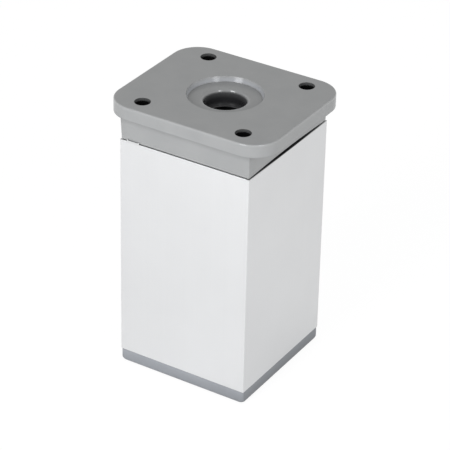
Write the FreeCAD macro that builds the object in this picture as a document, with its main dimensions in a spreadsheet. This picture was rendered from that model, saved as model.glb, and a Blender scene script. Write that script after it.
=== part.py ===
import FreeCAD, Part
import math
import os
import Sketcher

# Adjustable cabinet leg: a square extruded tube between a moulded mounting plate and a moulded foot.
# A levelling spindle stands in the foot and turns in a nut held by the plate, so a key passed down
# through the plate raises the plate out of the tube.
# Frame: millimetres, +Z up, origin at the middle of the sole. The plate's long side runs along X.

# Driving dimensions
SIZES = {
    # tube
    "tube_side": 50.0,
    "tube_length": 82.55,
    "tube_wall": 1.2,
    "tube_corner": 0.25,
    "tube_inner_corner": 0.5,
    # foot
    "foot_rim": 5.0,
    "foot_corner": 0.6,
    "foot_edge_round": 1.6,
    "foot_fit": 0.25,
    "foot_plug_height": 15.15,
    "foot_plug_wall": 2.2,
    "foot_floor": 1.75,
    "foot_lead_in": 0.8,
    "grip_rib_proud": 0.2,
    "grip_rib_width": 1.4,
    "grip_rib_offset": 16.0,
    "foot_boss_diameter": 18.0,
    "foot_boss_height": 16.15,
    "foot_web": 1.8,
    "foot_web_height": 9.0,
    "sole_recess_diameter": 20.0,
    "sole_recess_depth": 4.2,
    # mounting plate
    "plate_x": 62.3,
    "plate_y": 53.1,
    "plate_thick": 4.7,
    "plate_corner": 9.8,
    "plate_edge_round": 0.5,
    "neck_height": 8.35,
    "neck_side": 49.9,
    "neck_draft": 0.3,
    "neck_corner": 0.3,
    "shoulder_gap": 0.25,
    "arch_rise": 0.6,
    "arch_span": 45.0,
    "top_wall": 6.0,
    "skirt_length": 36.0,
    "skirt_fit": 0.2,
    "skirt_wall": 2.2,
    "skirt_lead_in": 1.0,
    "guide_rib_proud": 0.35,
    "guide_rib_width": 3.0,
    "guide_rib_offset": 13.0,
    "guide_rib_length": 30.0,
    "screw_spacing_x": 38.8,
    "screw_spacing_y": 40.1,
    "screw_hole_diameter": 5.4,
    "screw_hole_depth": 11.0,
    "screw_boss_diameter": 8.8,
    "screw_boss_skin": 1.4,
    "recess_diameter": 26.1,
    "recess_depth": 1.8,
    "recess_draft": 0.7,
    "bore_diameter": 14.3,
    "bore_depth": 7.6,
    "bore_lip_round": 1.4,
    "tool_hole_diameter": 12.0,
    "tool_hole_break": 0.15,
    "plate_boss_diameter": 25.0,
    "plate_web": 2.0,
    "plate_web_height": 20.0,
    # nut
    "nut_depth": 30.0,
    "nut_flats": 17.0,
    "nut_height": 8.0,
    "nut_fit": 0.05,
    "nut_break": 0.8,
    "nut_catch": 0.5,
    "nut_catch_height": 1.2,
    # spindle
    "spindle_diameter": 10.0,
    "spindle_fit": 0.05,
    "spindle_drop": 12.0,
    "spindle_chamfer": 1.0,
    "key_flats": 6.0,
    "key_depth": 6.5,
    "collar_diameter": 15.0,
    "collar_height": 2.5,
    "collar_chamfer": 0.4,
    "journal_diameter": 8.0,
    "journal_fit": 0.05,
    "journal_tail": 1.3,
    "groove_diameter": 6.0,
    # washer
    "washer_diameter": 17.0,
    "washer_thick": 1.0,
    "washer_fit": 0.2,
    # retaining clip
    "clip_diameter": 12.0,
    "clip_thick": 0.9,
    "clip_play": 0.1,
    "clip_mouth": 5.0,
    "clip_lobe_diameter": 2.2,
    "clip_lobe_offset": 3.4,
}

# Levels above the sole
TUBE_TOP = "(sizes.foot_rim + sizes.tube_length)"
SHOULDER = f"({TUBE_TOP} + sizes.shoulder_gap)"
FLANGE_UNDER = f"({SHOULDER} + sizes.neck_height)"
TOP = f"({FLANGE_UNDER} + sizes.plate_thick)"
CEILING = f"({TOP} - sizes.top_wall)"
SKIRT_END = f"({SHOULDER} - sizes.skirt_length)"
LEDGE = f"({TOP} - sizes.bore_depth)"
RECESS_FLOOR = f"({TOP} - sizes.recess_depth)"
NUT_TOP = f"({TOP} - sizes.nut_depth)"
NUT_BOTTOM = f"({NUT_TOP} - sizes.nut_height)"
PLATE_BOSS_END = f"({NUT_BOTTOM} - sizes.nut_catch_height)"
FOOT_FLOOR_TOP = "(sizes.foot_rim + sizes.foot_floor)"
FOOT_PLUG_TOP = "(sizes.foot_rim + sizes.foot_plug_height)"
FOOT_BOSS_TOP = "(sizes.foot_rim + sizes.foot_boss_height)"
WASHER_TOP = f"({FOOT_BOSS_TOP} + sizes.washer_thick)"
COLLAR_TOP = f"({WASHER_TOP} + sizes.collar_height)"
SPINDLE_TOP = f"({TOP} - sizes.spindle_drop)"
CLIP_TOP = "(sizes.sole_recess_depth - sizes.clip_play)"
CLIP_BOTTOM = f"({CLIP_TOP} - sizes.clip_thick)"
GROOVE_BOTTOM = f"({CLIP_BOTTOM} - sizes.clip_play)"
SPINDLE_END = f"({GROOVE_BOTTOM} - sizes.journal_tail)"

# Widths that follow from the tube
TUBE_INNER = "(sizes.tube_side - 2 * sizes.tube_wall)"
SKIRT_SIDE = f"({TUBE_INNER} - 2 * (sizes.skirt_fit + sizes.guide_rib_proud))"
SKIRT_CORNER = "(sizes.tube_inner_corner + 1.5 * sizes.skirt_lead_in)"
SKIRT_INNER = f"({SKIRT_SIDE} - 2 * sizes.skirt_wall)"
PLUG_SIDE = f"({TUBE_INNER} - 2 * sizes.foot_fit)"
PLUG_CORNER = "(sizes.tube_inner_corner + 1.5 * sizes.foot_lead_in)"
PLUG_INNER = f"({PLUG_SIDE} - 2 * sizes.foot_plug_wall)"
NECK_BOTTOM_SIDE = "(sizes.neck_side - 2 * sizes.neck_draft)"

TINY = 1e-4

# Starting size of a circle whose true size and place are set by dimensions
ROUGH = 3.0


def make_sheet(doc):
    """Put the driving dimensions in a spreadsheet, one named cell each."""
    sheet = doc.addObject("Spreadsheet::Sheet", "sizes")
    for row, (alias, size) in enumerate(SIZES.items(), start=1):
        sheet.set(f"A{row}", alias)
        sheet.set(f"B{row}", str(size))
        sheet.setAlias(f"B{row}", alias)
    doc.recompute()


def new_body(doc, label):
    """Start one sub-part at the row's origin."""
    body = doc.addObject("PartDesign::Body", label)
    body.Label = label
    body.Placement = FreeCAD.Placement()
    return body


def origin_plane(body, role):
    """Find one of the body's own origin planes by its role."""
    for feature in body.Origin.OriginFeatures:
        if feature.Role == role:
            return feature
    raise ValueError(role)


def new_sketch(body, name, level=None, role="XY_Plane"):
    """Attach a sketch to an origin plane, raised to a level where one is given."""
    sketch = body.newObject("Sketcher::SketchObject", name)
    sketch.AttachmentSupport = [(origin_plane(body, role), "")]
    sketch.MapMode = "FlatFace"
    if level is not None:
        sketch.setExpression("AttachmentOffset.Base.z", level)
    return sketch


def bind(sketch, constraint, name, expression):
    """Add one named dimension to a sketch and tie it to the sheet."""
    index = sketch.addConstraint(constraint)
    sketch.renameConstraint(index, name)
    sketch.setExpression(f"Constraints.{name}", expression)


def add_circle(sketch, name, diameter, x=None, y=None):
    """Draw a circle, centred on the origin or at a stated place."""
    rough_circle = Part.Circle(FreeCAD.Vector(ROUGH, ROUGH, 0), FreeCAD.Vector(0, 0, 1), ROUGH)
    circle = sketch.addGeometry(rough_circle, False)
    if x is None:
        sketch.addConstraint(Sketcher.Constraint("Coincident", circle, 3, -1, 1))
    else:
        bind(sketch, Sketcher.Constraint("DistanceX", -1, 1, circle, 3, ROUGH), f"{name}_x", x)
        bind(sketch, Sketcher.Constraint("DistanceY", -1, 1, circle, 3, ROUGH), f"{name}_y", y)
    bind(sketch, Sketcher.Constraint("Diameter", circle, 2 * ROUGH), f"{name}_diameter", diameter)
    return circle


def circle_sketch(body, name, level, diameter, inner=None):
    """Draw one circle on the axis, or a ring where an inner diameter is given."""
    sketch = new_sketch(body, name, level)
    add_circle(sketch, "outer", diameter)
    if inner is not None:
        add_circle(sketch, "inner", inner)
    return sketch


def outline(sketch, points, prefix="p"):
    """Draw a closed outline of straight lines whose corners are all dimensioned.

    Each point is a pair of an expression and a rough value for both coordinates.
    """
    rough = [FreeCAD.Vector(x[1], y[1], 0) for x, y in points]
    count = len(points)
    first = sketch.GeometryCount
    for index in range(count):
        sketch.addGeometry(Part.LineSegment(rough[index], rough[(index + 1) % count]), False)
    for index in range(count):
        following = first + (index + 1) % count
        sketch.addConstraint(Sketcher.Constraint("Coincident", first + index, 2, following, 1))
    for index, (x, y) in enumerate(points):
        line = first + index
        bind(sketch, Sketcher.Constraint("DistanceX", -1, 1, line, 1, x[1]), f"{prefix}{index}_x", x[0])
        bind(sketch, Sketcher.Constraint("DistanceY", -1, 1, line, 1, y[1]), f"{prefix}{index}_y", y[0])


def value(doc, expression):
    """Work out an expression on the sheet's cells as a plain number."""
    result = doc.getObject("sizes").evalExpression(expression)
    return float(getattr(result, "Value", result))


def pair(doc, expression):
    """Keep an expression together with its present value."""
    return expression, value(doc, expression)


def points_of(doc, corners):
    """Turn a list of expression pairs into dimensioned corners."""
    return [(pair(doc, x), pair(doc, y)) for x, y in corners]


def box_sketch(body, name, level, x_low, x_high, y_low, y_high):
    """Draw a rectangle between four stated lines."""
    sketch = new_sketch(body, name, level)
    corners = [(x_low, y_low), (x_high, y_low), (x_high, y_high), (x_low, y_high)]
    outline(sketch, points_of(body.Document, corners))
    return sketch


def rounded_sketch(body, name, level, x_side, y_side, radius):
    """Draw a rectangle with rounded corners, centred on the origin."""
    sketch = new_sketch(body, name, level)
    doc = body.Document
    half_x = value(doc, x_side) / 2
    half_y = value(doc, y_side) / 2
    round_now = value(doc, radius)
    arc_x = half_x - round_now
    arc_y = half_y - round_now
    up = FreeCAD.Vector(0, 0, 1)
    centres = [(arc_x, arc_y), (-arc_x, arc_y), (-arc_x, -arc_y), (arc_x, -arc_y)]
    arcs = []
    for index, (cx, cy) in enumerate(centres):
        circle = Part.Circle(FreeCAD.Vector(cx, cy, 0), up, round_now)
        start = index * math.pi / 2
        arcs.append(sketch.addGeometry(Part.ArcOfCircle(circle, start, start + math.pi / 2), False))
    ends = [((arc_x, half_y), (-arc_x, half_y)), ((-half_x, arc_y), (-half_x, -arc_y)),
            ((-arc_x, -half_y), (arc_x, -half_y)), ((half_x, -arc_y), (half_x, arc_y))]
    for index, (start, end) in enumerate(ends):
        line = sketch.addGeometry(Part.LineSegment(FreeCAD.Vector(*start, 0), FreeCAD.Vector(*end, 0)), False)
        sketch.addConstraint(Sketcher.Constraint("Tangent", arcs[index], 2, line, 1))
        sketch.addConstraint(Sketcher.Constraint("Tangent", line, 2, arcs[(index + 1) % 4], 1))
        sketch.addConstraint(Sketcher.Constraint("Vertical" if index % 2 else "Horizontal", line))
    for arc in arcs[1:]:
        sketch.addConstraint(Sketcher.Constraint("Equal", arcs[0], arc))
    sketch.addConstraint(Sketcher.Constraint("Symmetric", arcs[0], 3, arcs[2], 3, -1, 1))
    bind(sketch, Sketcher.Constraint("Radius", arcs[0], round_now), "corner", radius)
    bind(sketch, Sketcher.Constraint("DistanceX", arcs[1], 3, arcs[0], 3, 2 * arc_x), "span_x",
         f"{x_side} - 2 * {radius}")
    bind(sketch, Sketcher.Constraint("DistanceY", arcs[3], 3, arcs[0], 3, 2 * arc_y), "span_y",
         f"{y_side} - 2 * {radius}")
    return sketch


def hexagon_sketch(body, name, level, flats):
    """Draw a hexagon on the axis from its width across flats."""
    sketch = new_sketch(body, name, level)
    corners = []
    for step in range(6):
        angle = math.radians(60 * step)
        along = f"{flats} / sqrt(3) * {math.cos(angle):.12f}"
        across = f"{flats} / sqrt(3) * {math.sin(angle):.12f}"
        corners.append((along, across))
    outline(sketch, points_of(body.Document, corners))
    return sketch


def extrude(body, kind, name, sketch, length, reverse=False):
    """Pad or pocket a sketch by a length."""
    feature = body.newObject(f"PartDesign::{kind}", name)
    feature.Profile = sketch
    feature.setExpression("Length", length)
    feature.Reversed = reverse
    sketch.Visibility = False
    body.Document.recompute()
    return feature


def pad(body, name, sketch, length):
    """Add material upwards from a sketch."""
    return extrude(body, "Pad", name, sketch, length)


def pocket_up(body, name, sketch, length):
    """Take material away upwards from a sketch."""
    return cut_checked(body, extrude(body, "Pocket", name, sketch, length, reverse=True))


def cut_checked(body, feature):
    """Make sure that a cut took something away and left something."""
    before = feature.BaseFeature.Shape.Volume
    if not TINY < feature.Shape.Volume < before - TINY:
        raise RuntimeError(f"{body.Label}: {feature.Name} cuts nothing or everything")
    return feature


def turned(body, kind, name, corners):
    """Revolve or groove an outline in the XZ plane about the Z axis."""
    sketch = new_sketch(body, f"{name}_profile", role="XZ_Plane")
    outline(sketch, points_of(body.Document, corners))
    feature = body.newObject(f"PartDesign::{kind}", name)
    feature.Profile = sketch
    feature.ReferenceAxis = (sketch, ["V_Axis"])
    feature.Angle = 360.0
    sketch.Visibility = False
    body.Document.recompute()
    if kind == "Groove":
        cut_checked(body, feature)
    return feature


def edges_where(feature, test):
    """Name the edges of a feature's shape that pass a test."""
    return [f"Edge{index}" for index, edge in enumerate(feature.Shape.Edges, start=1) if test(edge)]


def flat_edges_at(level):
    """Test for edges that lie wholly at one level."""
    def test(edge):
        box = edge.BoundBox
        return abs(box.ZMin - level) < TINY and abs(box.ZMax - level) < TINY
    return test


def dress(body, kind, name, base, test, size):
    """Fillet or chamfer the edges of a feature that pass a test."""
    names = edges_where(base, test)
    if not names:
        raise RuntimeError(f"{body.Label}: {name} finds no edge")
    feature = body.newObject(f"PartDesign::{kind}", name)
    feature.Base = (base, names)
    feature.setExpression("Radius" if kind == "Fillet" else "Size", size)
    body.Document.recompute()
    return feature


def quarter_turns(body, name, feature):
    """Repeat a feature on all four sides."""
    pattern = body.newObject("PartDesign::PolarPattern", name)
    pattern.Originals = [feature]
    pattern.Axis = (origin_axis(body), [""])
    pattern.Angle = 360.0
    pattern.Occurrences = 4
    body.Tip = pattern
    body.Document.recompute()
    return pattern


def origin_axis(body):
    """The body's own Z axis."""
    return origin_plane(body, "Z_Axis")


def side_ribs(body, name, level, reach_from, reach_to, offset, width, length):
    """Two upright ribs on each of the four sides."""
    lanes = [f"(-({offset}) - ({width}) / 2)", f"(-({offset}) + ({width}) / 2)",
             f"(({offset}) - ({width}) / 2)", f"(({offset}) + ({width}) / 2)"]
    sketch = new_sketch(body, f"{name}_profile", level)
    doc = body.Document
    for lane in (0, 2):
        corners = [(reach_from, lanes[lane]), (reach_to, lanes[lane]),
                   (reach_to, lanes[lane + 1]), (reach_from, lanes[lane + 1])]
        outline(sketch, points_of(doc, corners), prefix=f"rib{lane}_")
    return quarter_turns(body, f"{name}_round", pad(body, name, sketch, length))


def cross_webs(body, name, level, reach, width, length):
    """Two crossing upright webs through the axis."""
    doc = body.Document
    half = f"({width}) / 2"
    far = f"({reach})"
    corners = [(half, half), (half, far), (f"-{half}", far), (f"-{half}", half), (f"-{far}", half),
               (f"-{far}", f"-{half}"), (f"-{half}", f"-{half}"), (f"-{half}", f"-{far}"),
               (half, f"-{far}"), (half, f"-{half}"), (far, f"-{half}"), (far, half)]
    sketch = new_sketch(body, f"{name}_profile", level)
    outline(sketch, points_of(doc, corners))
    return pad(body, name, sketch, length)


def four_circles(body, name, level, diameter):
    """Four circles on the plate's screw pattern."""
    sketch = new_sketch(body, name, level)
    for index, (sign_x, sign_y) in enumerate([("", ""), ("-", ""), ("-", "-"), ("", "-")]):
        add_circle(sketch, f"c{index}", diameter,
                   f"{sign_x}sizes.screw_spacing_x / 2", f"{sign_y}sizes.screw_spacing_y / 2")
    return sketch


def make_tube(doc):
    """Square extruded tube, sawn off square at both ends."""
    body = new_body(doc, "tube")
    outside = rounded_sketch(body, "tube_outside", "sizes.foot_rim", "sizes.tube_side", "sizes.tube_side",
                             "sizes.tube_corner")
    pad(body, "tube_solid", outside, "sizes.tube_length")
    inside = rounded_sketch(body, "tube_inside", "sizes.foot_rim", TUBE_INNER, TUBE_INNER,
                            "sizes.tube_inner_corner")
    pocket_up(body, "tube_hollow", inside, "sizes.tube_length")
    return body


def make_foot(doc):
    """Moulded foot: a rim flush with the tube, and a ribbed plug with a bearing boss inside it."""
    body = new_body(doc, "foot_cap")
    rim = rounded_sketch(body, "rim_outline", "0", "sizes.tube_side", "sizes.tube_side", "sizes.foot_corner")
    rim_pad = pad(body, "rim", rim, "sizes.foot_rim")
    dress(body, "Fillet", "sole_round", rim_pad, flat_edges_at(0.0), "sizes.foot_edge_round")
    plug = rounded_sketch(body, "plug_outline", "sizes.foot_rim", PLUG_SIDE, PLUG_SIDE, PLUG_CORNER)
    plug_pad = pad(body, "plug", plug, "sizes.foot_plug_height")
    plug_top = value(doc, FOOT_PLUG_TOP)
    dress(body, "Chamfer", "plug_lead_in", plug_pad, flat_edges_at(plug_top), "sizes.foot_lead_in")
    side_ribs(body, "grip_ribs", "sizes.foot_rim", f"{PLUG_SIDE} / 2 - sizes.foot_plug_wall / 2",
              f"{PLUG_SIDE} / 2 + sizes.grip_rib_proud", "sizes.grip_rib_offset", "sizes.grip_rib_width",
              "sizes.foot_plug_height - 2 * sizes.foot_lead_in")
    hollow = rounded_sketch(body, "plug_inside", FOOT_FLOOR_TOP, PLUG_INNER, PLUG_INNER, PLUG_CORNER)
    pocket_up(body, "plug_hollow", hollow, "sizes.foot_plug_height")
    cross_webs(body, "foot_webs", FOOT_FLOOR_TOP, f"{PLUG_INNER} / 2 + sizes.foot_plug_wall / 2",
               "sizes.foot_web", "sizes.foot_web_height")
    boss = circle_sketch(body, "foot_boss_outline", "sizes.foot_rim", "sizes.foot_boss_diameter")
    pad(body, "foot_boss", boss, "sizes.foot_boss_height")
    bore = "sizes.journal_diameter / 2 + sizes.journal_fit"
    recess = "sizes.sole_recess_diameter / 2"
    turned(body, "Groove", "bearing_bore",
           [("0", "0"), (recess, "0"), (recess, "sizes.sole_recess_depth"),
            (bore, "sizes.sole_recess_depth"), (bore, FOOT_BOSS_TOP), ("0", FOOT_BOSS_TOP)])
    return body


def make_plate(doc):
    """Moulded mounting plate: flange, tapered neck, ribbed skirt in the tube, and the nut's boss."""
    body = new_body(doc, "mounting_plate")
    flange = rounded_sketch(body, "flange_outline", FLANGE_UNDER, "sizes.plate_x", "sizes.plate_y",
                            "sizes.plate_corner")
    flange_pad = pad(body, "flange", flange, "sizes.plate_thick")
    dress(body, "Fillet", "flange_round", flange_pad, flat_edges_at(value(doc, TOP)), "sizes.plate_edge_round")
    make_neck(body)
    make_skirt(body)
    make_plate_boss(body)
    make_screw_bosses(body)
    make_plate_bore(body)
    return body


def make_neck(body):
    """Tapered neck that carries on the tube's line, arched a little off the rim on its long sides."""
    low = rounded_sketch(body, "neck_low", SHOULDER, NECK_BOTTOM_SIDE, NECK_BOTTOM_SIDE, "sizes.neck_corner")
    high = rounded_sketch(body, "neck_high", FLANGE_UNDER, "sizes.neck_side", "sizes.neck_side",
                          "sizes.neck_corner")
    neck = body.newObject("PartDesign::AdditiveLoft", "neck")
    neck.Profile = low
    neck.Sections = [high]
    neck.Ruled = True
    low.Visibility = False
    high.Visibility = False
    body.Document.recompute()
    make_arch(body)


def make_arch(body):
    """Shallow arch under both X sides of the neck, cut before the skirt fills its middle."""
    doc = body.Document
    sketch = new_sketch(body, "arch_profile", role="YZ_Plane")
    half_span = value(doc, "sizes.arch_span / 2")
    rise = value(doc, "sizes.arch_rise")
    shoulder = value(doc, SHOULDER)
    start = FreeCAD.Vector(-half_span, shoulder, 0)
    end = FreeCAD.Vector(half_span, shoulder, 0)
    crown = FreeCAD.Vector(0, shoulder + rise, 0)
    chord = sketch.addGeometry(Part.LineSegment(start, end), False)
    arc = sketch.addGeometry(Part.Arc(end, crown, start), False)
    sketch.addConstraint(Sketcher.Constraint("Coincident", arc, 1, chord, 2))
    sketch.addConstraint(Sketcher.Constraint("Coincident", arc, 2, chord, 1))
    bind(sketch, Sketcher.Constraint("DistanceX", -1, 1, chord, 1, -half_span), "left", "-sizes.arch_span / 2")
    bind(sketch, Sketcher.Constraint("DistanceX", -1, 1, chord, 2, half_span), "right", "sizes.arch_span / 2")
    bind(sketch, Sketcher.Constraint("DistanceY", -1, 1, chord, 1, shoulder), "foot_left", SHOULDER)
    bind(sketch, Sketcher.Constraint("DistanceY", -1, 1, chord, 2, shoulder), "foot_right", SHOULDER)
    bow = "(sizes.arch_span ^ 2 / 4 + sizes.arch_rise ^ 2) / (2 * sizes.arch_rise)"
    bind(sketch, Sketcher.Constraint("Radius", arc, value(doc, bow)), "bow", bow)
    cut = body.newObject("PartDesign::Pocket", "arch")
    cut.Profile = sketch
    cut.Midplane = True
    cut.setExpression("Length", "sizes.plate_x")
    sketch.Visibility = False
    doc.recompute()
    cut_checked(body, cut)


def make_skirt(body):
    """Hollow square skirt that slides in the tube, with two guide ribs on each side."""
    doc = body.Document
    skirt = rounded_sketch(body, "skirt_outline", SKIRT_END, SKIRT_SIDE, SKIRT_SIDE, SKIRT_CORNER)
    skirt_pad = pad(body, "skirt", skirt, f"{FLANGE_UNDER} - {SKIRT_END}")
    dress(body, "Chamfer", "skirt_lead_in", skirt_pad, flat_edges_at(value(doc, SKIRT_END)),
          "sizes.skirt_lead_in")
    side_ribs(body, "guide_ribs", f"{SKIRT_END} + sizes.skirt_lead_in",
              f"{SKIRT_SIDE} / 2 - sizes.skirt_wall / 2", f"{SKIRT_SIDE} / 2 + sizes.guide_rib_proud",
              "sizes.guide_rib_offset", "sizes.guide_rib_width", "sizes.guide_rib_length")
    inside = rounded_sketch(body, "skirt_inside", SKIRT_END, SKIRT_INNER, SKIRT_INNER, SKIRT_CORNER)
    pocket_up(body, "skirt_hollow", inside, f"{CEILING} - {SKIRT_END}")


def make_plate_boss(body):
    """Round boss for the nut under the ceiling, tied to the skirt by crossing webs."""
    cross_webs(body, "plate_webs", f"{CEILING} - sizes.plate_web_height",
               f"{SKIRT_INNER} / 2 + sizes.skirt_wall / 2", "sizes.plate_web", "sizes.plate_web_height")
    boss = circle_sketch(body, "plate_boss_outline", PLATE_BOSS_END, "sizes.plate_boss_diameter")
    pad(body, "plate_boss", boss, f"{CEILING} - {PLATE_BOSS_END}")


def make_screw_bosses(body):
    """Four blind screw holes, each in a boss under the ceiling."""
    bottom = f"({TOP} - sizes.screw_hole_depth)"
    bosses = four_circles(body, "screw_boss_outlines", f"{bottom} - sizes.screw_boss_skin",
                          "sizes.screw_boss_diameter")
    pad(body, "screw_bosses", bosses, f"{CEILING} - ({bottom} - sizes.screw_boss_skin)")
    holes = four_circles(body, "screw_hole_outlines", bottom, "sizes.screw_hole_diameter")
    pocket_up(body, "screw_holes", holes, "sizes.screw_hole_depth")


def make_plate_bore(body):
    """Recess, stepped bore for the key, and the nut's pocket with its catch ring."""
    doc = body.Document
    rim = "sizes.recess_diameter / 2"
    floor_edge = "sizes.recess_diameter / 2 - sizes.recess_draft"
    bore = "sizes.bore_diameter / 2"
    hole = "sizes.tool_hole_diameter / 2"
    broken = f"{hole} + sizes.tool_hole_break"
    turned(body, "Groove", "stepped_bore",
           [("0", TOP), (rim, TOP), (floor_edge, RECESS_FLOOR), (bore, RECESS_FLOOR), (bore, LEDGE),
            (broken, LEDGE), (hole, f"{LEDGE} - sizes.tool_hole_break"), (hole, NUT_TOP), ("0", NUT_TOP)])
    bore_now = value(doc, bore)
    floor_now = value(doc, RECESS_FLOOR)

    def lip(edge):
        return (flat_edges_at(floor_now)(edge) and isinstance(edge.Curve, Part.Circle)
                and abs(edge.Curve.Radius - bore_now) < TINY)
    dress(body, "Fillet", "bore_lip", body.Tip, lip, "sizes.bore_lip_round")
    pocket = hexagon_sketch(body, "nut_pocket_outline", NUT_BOTTOM, "(sizes.nut_flats + 2 * sizes.nut_fit)")
    pocket_up(body, "nut_pocket", pocket, "sizes.nut_height")
    mouth = circle_sketch(body, "nut_mouth_outline", PLATE_BOSS_END,
                          "(2 * sizes.nut_flats / sqrt(3) - 2 * sizes.nut_catch)")
    pocket_up(body, "nut_mouth", mouth, "sizes.nut_catch_height")


def make_nut(doc):
    """Hexagon nut in the plate's boss, chamfered at the face that goes in last."""
    body = new_body(doc, "spindle_nut")
    blank = hexagon_sketch(body, "nut_outline", NUT_BOTTOM, "sizes.nut_flats")
    pad(body, "nut_blank", blank, "sizes.nut_height")
    bore = "sizes.spindle_diameter / 2 + sizes.spindle_fit"
    wide = f"({bore} + sizes.nut_break)"
    turned(body, "Groove", "nut_thread",
           [("0", NUT_BOTTOM), (wide, NUT_BOTTOM), (bore, f"{NUT_BOTTOM} + sizes.nut_break"),
            (bore, f"{NUT_TOP} - sizes.nut_break"), (wide, NUT_TOP), ("0", NUT_TOP)])
    far = "sizes.nut_flats"
    flat = "sizes.nut_flats / 2"
    drop = f"({far} - {flat}) / sqrt(3)"
    turned(body, "Groove", "nut_crown",
           [(flat, NUT_BOTTOM), (far, f"{NUT_BOTTOM} + {drop}"), (far, NUT_BOTTOM)])
    return body


def make_spindle(doc):
    """Turned levelling spindle: threaded shank, thrust collar, journal and clip groove."""
    body = new_body(doc, "spindle")
    shank = "sizes.spindle_diameter / 2"
    tip = f"({shank} - sizes.spindle_chamfer)"
    collar = "sizes.collar_diameter / 2"
    collar_edge = f"({collar} - sizes.collar_chamfer)"
    journal = "sizes.journal_diameter / 2"
    groove = "sizes.groove_diameter / 2"
    turned(body, "Revolution", "spindle_turning",
           [("0", SPINDLE_END), (groove, SPINDLE_END),
            (journal, f"{SPINDLE_END} + ({journal} - {groove}) / 2"), (journal, GROOVE_BOTTOM),
            (groove, GROOVE_BOTTOM), (groove, f"{CLIP_TOP} + sizes.clip_play"),
            (journal, f"{CLIP_TOP} + sizes.clip_play"), (journal, WASHER_TOP), (collar, WASHER_TOP),
            (collar, f"{COLLAR_TOP} - sizes.collar_chamfer"), (collar_edge, COLLAR_TOP), (shank, COLLAR_TOP),
            (shank, f"{SPINDLE_TOP} - sizes.spindle_chamfer"), (tip, SPINDLE_TOP), ("0", SPINDLE_TOP)])
    socket = hexagon_sketch(body, "key_socket_outline", f"{SPINDLE_TOP} - sizes.key_depth", "sizes.key_flats")
    pocket_up(body, "key_socket", socket, "sizes.key_depth")
    return body


def make_washer(doc):
    """Flat thrust washer between the spindle's collar and the foot's boss."""
    body = new_body(doc, "thrust_washer")
    inner = "sizes.journal_diameter / 2 + sizes.washer_fit"
    outer = "sizes.washer_diameter / 2"
    turned(body, "Revolution", "washer_turning",
           [(inner, FOOT_BOSS_TOP), (outer, FOOT_BOSS_TOP), (outer, WASHER_TOP), (inner, WASHER_TOP)])
    return body


def make_clip(doc):
    """Stamped retaining clip that snaps into the groove under the foot."""
    body = new_body(doc, "retaining_clip")
    inner = "(sizes.groove_diameter + 2 * sizes.spindle_fit)"
    ring = circle_sketch(body, "clip_outline", CLIP_BOTTOM, "sizes.clip_diameter", inner)
    pad(body, "clip_ring", ring, "sizes.clip_thick")
    mouth = box_sketch(body, "clip_mouth_outline", CLIP_BOTTOM, "0", "sizes.clip_diameter",
                       "-sizes.clip_mouth / 2", "sizes.clip_mouth / 2")
    pocket_up(body, "clip_mouth", mouth, "sizes.clip_thick")
    lobes = new_sketch(body, "clip_lobe_outlines", CLIP_BOTTOM)
    lean = math.sin(math.radians(45))
    for index, sign in enumerate(("", "-")):
        add_circle(lobes, f"lobe{index}", "sizes.clip_lobe_diameter", f"-sizes.clip_lobe_offset * {lean:.9f}",
                   f"{sign}sizes.clip_lobe_offset * {lean:.9f}")
    pocket_up(body, "clip_lobes", lobes, "sizes.clip_thick")
    return body


def check(doc, bodies):
    """Stop on any failed feature, and on any sub-part that isn't one valid solid."""
    for item in doc.Objects:
        if "Invalid" in item.State or "Error" in item.State:
            raise RuntimeError(f"{item.Name} failed: {item.State}")
    for body in bodies:
        shape = body.Shape
        if shape.isNull() or not shape.isValid() or len(shape.Solids) != 1:
            raise RuntimeError(f"{body.Label} is not one valid solid")


def write(bodies):
    """Write each sub-part to its own file."""
    os.makedirs("parts", exist_ok=True)
    for body in bodies:
        body.Shape.exportStep(f"parts/{body.Label}.step")
        box = body.Shape.BoundBox
        print(f"{body.Label}: z {box.ZMin:.2f} to {box.ZMax:.2f}, {box.XLength:.2f} x {box.YLength:.2f}, "
              f"{body.Shape.Volume:.0f} mm3")


def main():
    doc = FreeCAD.newDocument("cabinet_leg")
    make_sheet(doc)
    makers = [make_tube, make_foot, make_plate, make_nut, make_spindle, make_washer, make_clip]
    bodies = [maker(doc) for maker in makers]
    doc.recompute()
    check(doc, bodies)
    write(bodies)


main()
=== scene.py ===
import math

import bpy
from mathutils import Matrix, Vector


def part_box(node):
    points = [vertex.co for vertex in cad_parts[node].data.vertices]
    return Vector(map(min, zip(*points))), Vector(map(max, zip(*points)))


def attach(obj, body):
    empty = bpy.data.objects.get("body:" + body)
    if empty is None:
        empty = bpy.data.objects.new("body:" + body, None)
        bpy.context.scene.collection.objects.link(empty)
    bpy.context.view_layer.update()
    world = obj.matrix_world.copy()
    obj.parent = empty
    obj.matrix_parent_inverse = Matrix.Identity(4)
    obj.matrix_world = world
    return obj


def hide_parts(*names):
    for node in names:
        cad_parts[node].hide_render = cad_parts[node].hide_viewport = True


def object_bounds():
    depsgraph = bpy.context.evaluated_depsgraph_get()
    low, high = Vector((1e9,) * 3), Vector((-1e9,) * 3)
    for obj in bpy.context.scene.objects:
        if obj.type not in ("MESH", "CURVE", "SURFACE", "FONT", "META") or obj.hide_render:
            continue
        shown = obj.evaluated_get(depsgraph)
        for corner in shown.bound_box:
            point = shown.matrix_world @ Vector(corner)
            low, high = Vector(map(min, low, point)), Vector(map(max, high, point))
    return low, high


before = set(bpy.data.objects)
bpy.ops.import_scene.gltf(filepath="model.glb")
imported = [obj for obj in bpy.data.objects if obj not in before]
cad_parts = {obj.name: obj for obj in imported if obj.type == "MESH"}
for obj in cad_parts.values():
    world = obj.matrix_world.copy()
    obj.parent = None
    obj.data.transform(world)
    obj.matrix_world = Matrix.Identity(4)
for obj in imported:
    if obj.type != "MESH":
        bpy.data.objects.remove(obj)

cad_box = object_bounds()

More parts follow.
